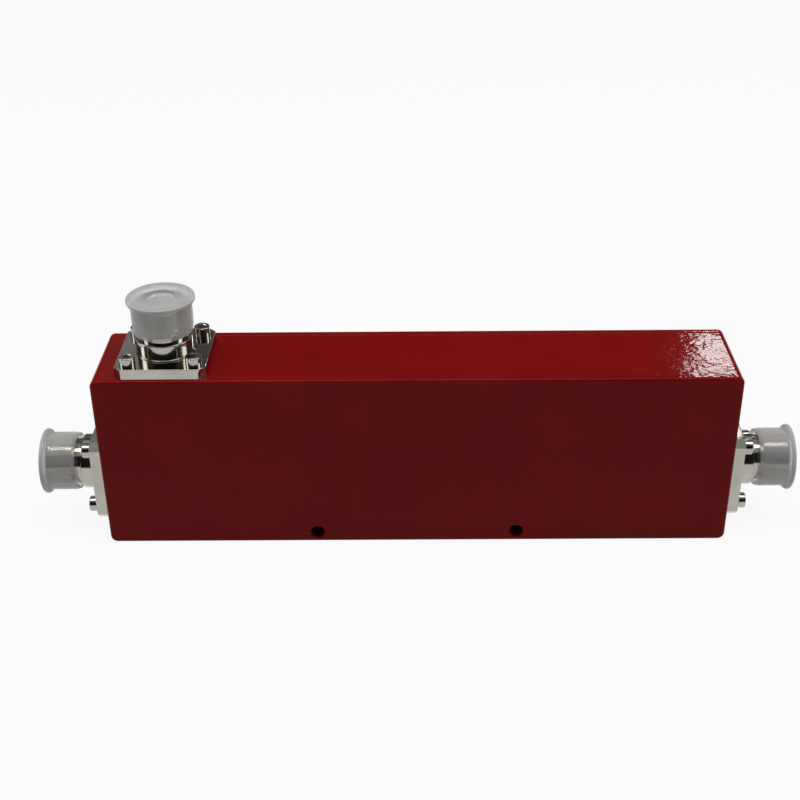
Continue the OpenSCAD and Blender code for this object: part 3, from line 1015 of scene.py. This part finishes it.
def pick_points(piece, test):
    """Opens a piece in edit mode with only those points selected that pass the test."""
    deselect_within(piece, "VERT")
    for point in piece.data.vertices:
        point.select = test(point.co)
    bpy.ops.object.mode_set(mode="EDIT")


clear_selection()
bpy.ops.mesh.primitive_circle_add(
    vertices=TOOL_SIDES, radius=tool_radius, rotation=(math.pi / 2, -math.pi / 2, 0),
    location=(tool_middle, 0, tool_height))
bpy.ops.object.transform_apply(location=True, rotation=True, scale=True)
groove = name_piece("thread_groove")
pick_points(groove, lambda point: point.x < tool_middle)
bpy.ops.mesh.bevel(offset=ROOT_FLAT, segments=1, affect="VERTICES")
bpy.ops.mesh.select_all(action="SELECT")
bpy.ops.mesh.bisect(plane_co=(shoulder, 0, 0), plane_no=(1, 0, 0))
pick_points(groove, lambda point: point.x > shoulder + TOUCH)
bpy.ops.transform.resize(value=(1, 1, flare), center_override=(tool_middle, 0, tool_height))
bpy.ops.object.mode_set(mode="OBJECT")
print("the tool cuts", round(groove_depth / MM, 2), "mm deep and has", len(groove.data.vertices), "corners")

# %% Thread
SOFT_ANGLE = math.radians(40)
turns = math.ceil((shell_length - thread_start) / THREAD_PITCH) + 1

winding = groove.modifiers.new("winding", "SCREW")
winding.axis = "Z"
winding.angle = 2 * math.pi
winding.screw_offset = THREAD_PITCH
winding.iterations = turns
winding.steps = ROUND_STEPS
winding.render_steps = ROUND_STEPS
bpy.ops.object.modifier_apply(modifier=winding.name)
bpy.ops.object.mode_set(mode="EDIT")
close_mesh()
combine(shell, groove, "DIFFERENCE")
finish_shading(shell, SOFT_ANGLE)
print("thread of", turns, "turns")

# %% [markdown]
# ### Marks of the lathe
# The milled flange is the brightest. The barrel, the thread and above all the bore keep fine marks of the
# tool that turned them. How dull each is goes into an attribute of the points, which the nickel finish
# reads.

# %% Marks of the lathe
BARREL_DULLNESS = 1.0
THREAD_DULLNESS = 0.6
BORE_DULLNESS = 5.0


def mark_points(piece, name, value_at):
    """Gives every point of a piece a value under a name, worked out from the point's place."""
    marks = piece.data.attributes.new(name, "FLOAT", "POINT").data
    for point, mark in zip(piece.data.vertices, marks):
        mark.value = value_at(point.co)
    print(piece.name, "carries", name, "on", len(marks), "points")


def dullness_at(point):
    """How dull the lathe has left the shell. The flange wasn't turned and stays bright."""
    if point.xy.length < MATING_RADIUS + MATING_LEAD + TOUCH:
        return BORE_DULLNESS
    if point.z > thread_start - TOUCH:
        return THREAD_DULLNESS
    return BARREL_DULLNESS if point.z > flange_thick + TOUCH else 0


mark_points(shell, "turned", dullness_at)

# %% [markdown]
# ## The dust cap
# A soft cap moulded in one piece: a thin sleeve with a tapered lip, and a closed end with a rounded brim
# and a shallow round dish. It is turned from the inside out and its rings are then rounded.

# %% Dust cap
CAP_FIT = 0.06 * MM
CAP_WALL = 0.5 * MM
LIP_LENGTH = 1.3 * MM
LIP_IN = 0.25 * MM
BRIM_THICK = 1.1 * MM
BRIM_SLOPE = 0.6 * MM
BRIM_EDGE = 0.35 * MM
DISH_RADIUS = 4.5 * MM
DISH_DEPTH = 0.6 * MM
SMALLEST_RING = 0.3 * MM
cap_open = cap_low.z
cap_end = cap_high.z
bore = THREAD_RADIUS + CAP_FIT
sleeve = bore + CAP_WALL
brim = cap_high.x
brim_bottom = cap_end - BRIM_THICK
slope_bottom = brim_bottom - BRIM_SLOPE
lip_top = cap_open + LIP_LENGTH
dish_bottom = cap_end - DISH_DEPTH

cap = turned("dust_cap", [
    (SMALLEST_RING, shell_length),
    (bore, shell_length),
    (bore, cap_open),
    (sleeve - LIP_IN, cap_open),
    (sleeve, lip_top),
    (sleeve, slope_bottom),
    (brim, brim_bottom),
    (brim, cap_end),
    (bore, cap_end),
    (DISH_RADIUS, cap_end),
    (DISH_RADIUS - DISH_DEPTH, dish_bottom),
    (SMALLEST_RING, dish_bottom)])
for radius, height in ((brim, brim_bottom), (brim, cap_end), (DISH_RADIUS, cap_end),
                       (sleeve, slope_bottom), (sleeve, lip_top)):
    round_edges(cap, on_ring(radius, height), BRIM_EDGE, RIM_STEPS)
finish_shading(cap, SOFT_ANGLE)

# %% [markdown]
# ### The veil of the plastic
# The milky look belongs to the wall as a whole, so its outer skin carries nearly all of it and the inner
# wall almost none. The skin is thin on the sleeve, grows dense up the slope of the brim, and is clearer
# again on the end face, where the plastic is one flat sheet.

# %% Veil of the plastic
INNER_VEIL = 0.04
END_VEIL = 0.26


def veil_at(point):
    """How dense the veil is on the inner wall, the end face, the sleeve and the brim."""
    radius = point.xy.length
    if radius < bore + TOUCH and point.z < shell_length + TOUCH:
        return INNER_VEIL
    if radius < bore - TOUCH:
        return END_VEIL
    rise = (point.z - slope_bottom) / BRIM_SLOPE
    return THIN_VEIL + (THICK_VEIL - THIN_VEIL) * min(max(rise, 0), 1)


mark_points(cap, "veil", veil_at)

# %% [markdown]
# ## Three of each
# The shell, its screws and its cap are copied to the three ports, each copy with its own mesh.

# %% Copies at the ports
for port, (place, rotation) in PORTS.items():
    port_shell = copy_to(shell, f"{port}_shell", place, rotation)
    dress(port_shell, "nickel_plate", f"{port}_connector_shell")
    port_screws = copy_to(flange_screws, f"{port}_screw_set", place, rotation)
    dress(port_screws, "screw_steel", f"{port}_flange_screws")
    port_cap = copy_to(cap, f"{port}_cap", place, rotation)
    dress(port_cap, "milky_cap", f"{port}_dust_cap")
for original in (shell, flange_screws, cap):
    bpy.data.objects.remove(original)
clear_selection()
